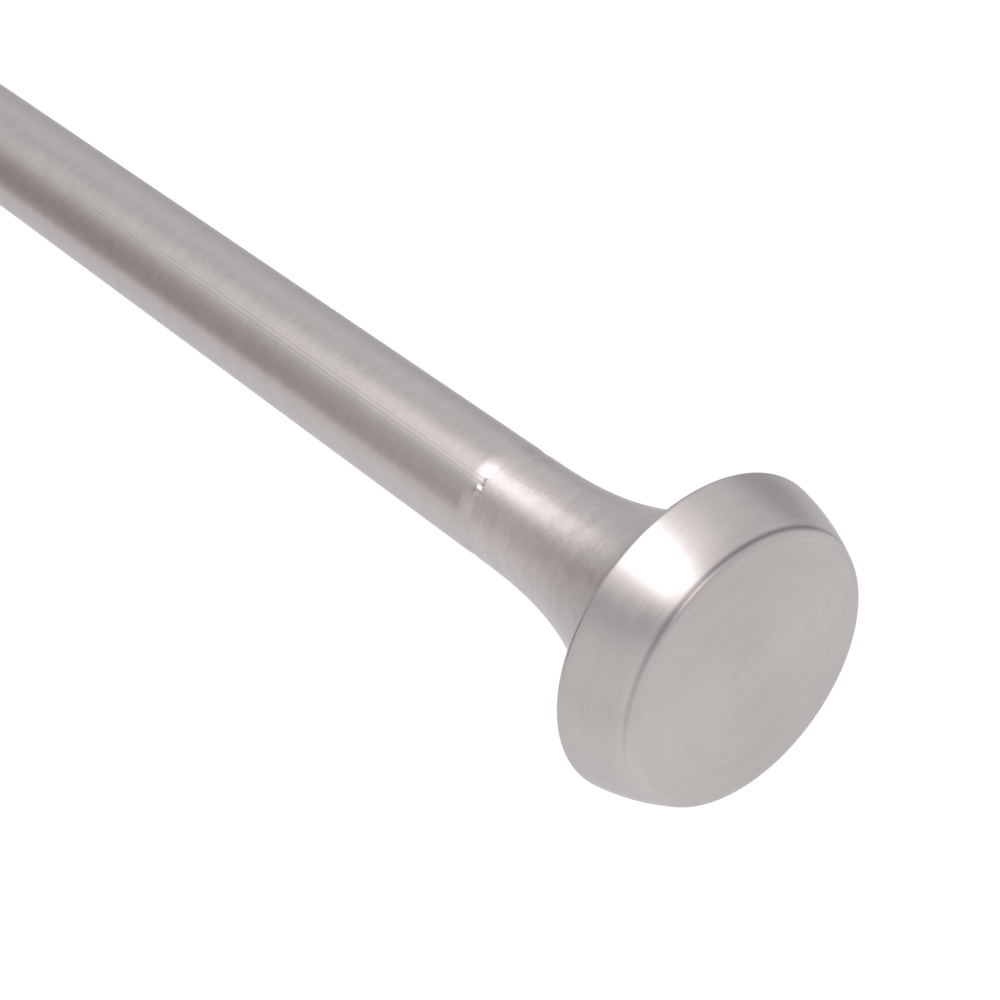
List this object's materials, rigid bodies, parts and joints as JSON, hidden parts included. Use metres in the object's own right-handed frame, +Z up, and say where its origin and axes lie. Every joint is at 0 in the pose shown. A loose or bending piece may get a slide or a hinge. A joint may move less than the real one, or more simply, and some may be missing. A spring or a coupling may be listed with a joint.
{
  "type": "shower curtain rod",
  "caption": "Adjustable shower curtain rod: telescoping brushed nickel tubes with trumpet-flared ends whose flat round faces press on two facing walls, tightened by a twist.",
  "frame": {"origin": "centre of the near end's flat wall face", "axes": "+X along the rod, from the near wall to the far wall; +Z up on the wall; +Y level, to complete a right-handed frame"},
  "size_m": [0.61, 0.0688, 0.0688],
  "materials": {
    "brushed_nickel": "warm grey nickel plate, finely brushed round the rod's axis",
    "white_nylon": "natural moulded nylon",
    "grey_plastic": "grey moulded acetal, satin",
    "zinc_steel": "bright zinc plate"
  },
  "bodies": {
    "near_end": {"near_wall_flange": "brushed_nickel", "near_flare_neck": "brushed_nickel", "near_end_core": "white_nylon", "near_thrust_washer": "zinc_steel"},
    "outer_tube_body": {"outer_tube": "brushed_nickel", "guide_bush": "grey_plastic", "near_tube_plug": "grey_plastic", "near_pivot_screw": "zinc_steel"},
    "screw_carriage": {"tension_screw": "zinc_steel", "stop_ring": "zinc_steel", "lock_cam": "white_nylon", "cam_washer": "zinc_steel", "cam_screw": "zinc_steel"},
    "lock_ring_body": {"lock_ring": "grey_plastic"},
    "far_end": {"far_wall_flange": "brushed_nickel", "far_flare_neck": "brushed_nickel", "far_end_core": "white_nylon", "far_thrust_washer": "zinc_steel"},
    "inner_tube_body": {"inner_tube": "brushed_nickel", "screw_nut": "white_nylon", "far_tube_plug": "grey_plastic", "far_pivot_screw": "zinc_steel"}
  },
  "joints": [
    {"name": "outer_swivel", "type": "hinge", "parent": "near_end", "child": "outer_tube_body", "pos_m": [0.04, 0, 0], "axis": [1, 0, 0], "continuous": true},
    {"name": "length_adjust", "type": "slide", "parent": "outer_tube_body", "child": "screw_carriage", "axis": [1, 0, 0], "range_m": [0, 0.305]},
    {"name": "cam_lock", "type": "hinge", "parent": "screw_carriage", "child": "lock_ring_body", "pos_m": [0.116, 0, 0.0012], "axis": [1, 0, 0], "range_deg": [0, 15]},
    {"name": "tension_travel", "type": "slide", "parent": "screw_carriage", "child": "far_end", "axis": [1, 0, 0], "range_m": [0, 0.0241]},
    {"name": "tube_twist", "type": "hinge", "parent": "far_end", "child": "inner_tube_body", "pos_m": [0.57, 0, 0], "axis": [1, 0, 0], "range_deg": [0, 2160]}
  ],
  "couplings": [
    {"joint": "tension_travel", "follows": "tube_twist", "m_per_rad": 0.00063662}
  ]
}
